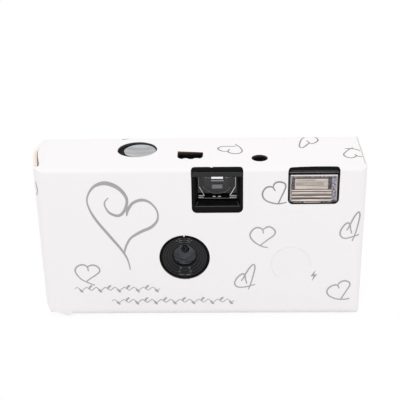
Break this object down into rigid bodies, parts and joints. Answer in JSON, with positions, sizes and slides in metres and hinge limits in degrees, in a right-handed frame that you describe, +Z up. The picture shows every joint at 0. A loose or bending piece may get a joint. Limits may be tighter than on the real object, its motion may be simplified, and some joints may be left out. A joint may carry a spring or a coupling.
{
  "type": "disposable film camera",
  "caption": "Single-use flash camera for 35 mm film: a black moulded body with viewfinder, fixed lens, shutter, film drive and flash unit inside a folded white card wrap.",
  "frame": {"origin": "centre of the base, on the surface the camera stands on", "axes": "+X right seen from the front, +Y from the lens side to the back, +Z up"},
  "size_m": [0.116, 0.03, 0.06],
  "materials": {
    "card": "smooth white coated card",
    "black_plastic": "fine-grained black",
    "clear_plastic": "clear moulded",
    "glass": "clear",
    "spring_steel": "plain spring steel",
    "silver_plastic": "silver-grey, satin",
    "natural_plastic": "unpigmented",
    "tinplate": "thin rolled",
    "felt": "black pile",
    "film_base": "coated film",
    "bright_aluminium": "bright",
    "board_laminate": "paper laminate",
    "component_bodies": "moulded and wound",
    "capacitor_sleeve": "shrunk sleeve",
    "brass_leaf": "plain strip",
    "cell_jacket": "printed steel can"
  },
  "bodies": {
    "body": {"card_wrap": "card", "card_end_left": "card", "card_end_right": "card", "front_cover": "black_plastic", "back_cover": "black_plastic", "main_frame": "black_plastic", "lens_ring": "black_plastic", "taking_lens": "clear_plastic", "lens_seat": "black_plastic", "aperture_plate": "spring_steel", "blade_spring": "spring_steel", "striker_spring": "spring_steel", "counter_window": "clear_plastic", "ratchet_pawl": "spring_steel", "cartridge_shell": "tinplate", "cartridge_top_cap": "tinplate", "cartridge_bottom_cap": "tinplate", "light_trap_felt": "felt", "film_strip": "film_base", "viewfinder_lens": "clear_plastic", "viewfinder_tube": "black_plastic", "viewfinder_eyepiece": "clear_plastic", "flash_window": "clear_plastic", "flash_reflector": "bright_aluminium", "flash_tube": "glass", "circuit_board": "board_laminate", "board_components": "component_bodies", "flash_capacitor": "capacitor_sleeve", "capacitor_leads": "spring_steel", "flash_transformer": "component_bodies", "trigger_coil": "component_bodies", "flash_switch_leaf": "brass_leaf", "sync_contact": "brass_leaf", "ready_lamp": "glass", "lamp_leads": "spring_steel", "aa_cell": "cell_jacket", "cell_top_contact": "spring_steel", "cell_spring": "spring_steel"},
    "film_advance": {"thumb_wheel": "black_plastic", "cartridge_spool": "black_plastic"},
    "sprocket": {"film_sprocket": "natural_plastic"},
    "supply": {"supply_spool": "natural_plastic", "film_roll": "film_base"},
    "counter": {"counter_dial": "natural_plastic"},
    "release": {"release_button": "silver_plastic"},
    "lever": {"release_lever": "natural_plastic"},
    "striker": {"striker_lever": "natural_plastic"},
    "shutter": {"shutter_blade": "spring_steel"},
    "flash_key": {"flash_button": "black_plastic"},
    "flash_tab": {"card_flash_tab": "card"}
  },
  "joints": [
    {"name": "thumb_wheel_turn", "type": "hinge", "parent": "body", "child": "film_advance", "pos_m": [-0.04, 0.0002, 0.0502], "axis": [0, 0, 1], "continuous": true},
    {"name": "sprocket_turn", "type": "hinge", "parent": "body", "child": "sprocket", "pos_m": [-0.017, 0.00401, 0.039], "axis": [0, 0, 1], "continuous": true},
    {"name": "supply_turn", "type": "hinge", "parent": "body", "child": "supply", "pos_m": [0.027, 0.00143, 0.025], "axis": [0, 0, 1], "continuous": true},
    {"name": "counter_turn", "type": "hinge", "parent": "body", "child": "counter", "pos_m": [-0.0045, 0.003, 0.0564], "axis": [0, 0, 1], "continuous": true},
    {"name": "release_press", "type": "slide", "parent": "body", "child": "release", "axis": [0, 0, -1], "range_m": [0, 0.0012], "stiffness_N_per_m": 400},
    {"name": "lever_tip", "type": "hinge", "parent": "body", "child": "lever", "pos_m": [-0.0195, -0.0015, 0.052], "axis": [0, 1, 0], "range_deg": [-17.39, 0]},
    {"name": "striker_swing", "type": "hinge", "parent": "body", "child": "striker", "pos_m": [-0.014, 0.001, 0.051], "axis": [0, 0, 1], "range_deg": [0, 45], "stiffness_Nm_per_rad": 0.002},
    {"name": "shutter_swing", "type": "hinge", "parent": "body", "child": "shutter", "pos_m": [-0.0128, -0.00775, 0.033], "axis": [0, 1, 0], "range_deg": [0, 22.6]},
    {"name": "flash_button_press", "type": "slide", "parent": "body", "child": "flash_key", "axis": [0, 1, 0], "range_m": [0, 0.0008], "stiffness_N_per_m": 600},
    {"name": "flash_tab_fold", "type": "hinge", "parent": "body", "child": "flash_tab", "pos_m": [0.0338, -0.015, 0.01886], "axis": [-0.9135, 0, -0.4067], "range_deg": [0, 4.29]}
  ],
  "couplings": [
    {"joint": "sprocket_turn", "follows": "thumb_wheel_turn", "ratio": 0.90941},
    {"joint": "supply_turn", "follows": "thumb_wheel_turn", "ratio": 0.65476},
    {"joint": "counter_turn", "follows": "thumb_wheel_turn", "ratio": -0.022735},
    {"joint": "lever_tip", "follows": "release_press", "rad_per_m": -250},
    {"joint": "shutter_swing", "follows": "striker_swing", "ratio": 0.5},
    {"joint": "flash_tab_fold", "follows": "flash_button_press", "rad_per_m": 91.408}
  ]
}
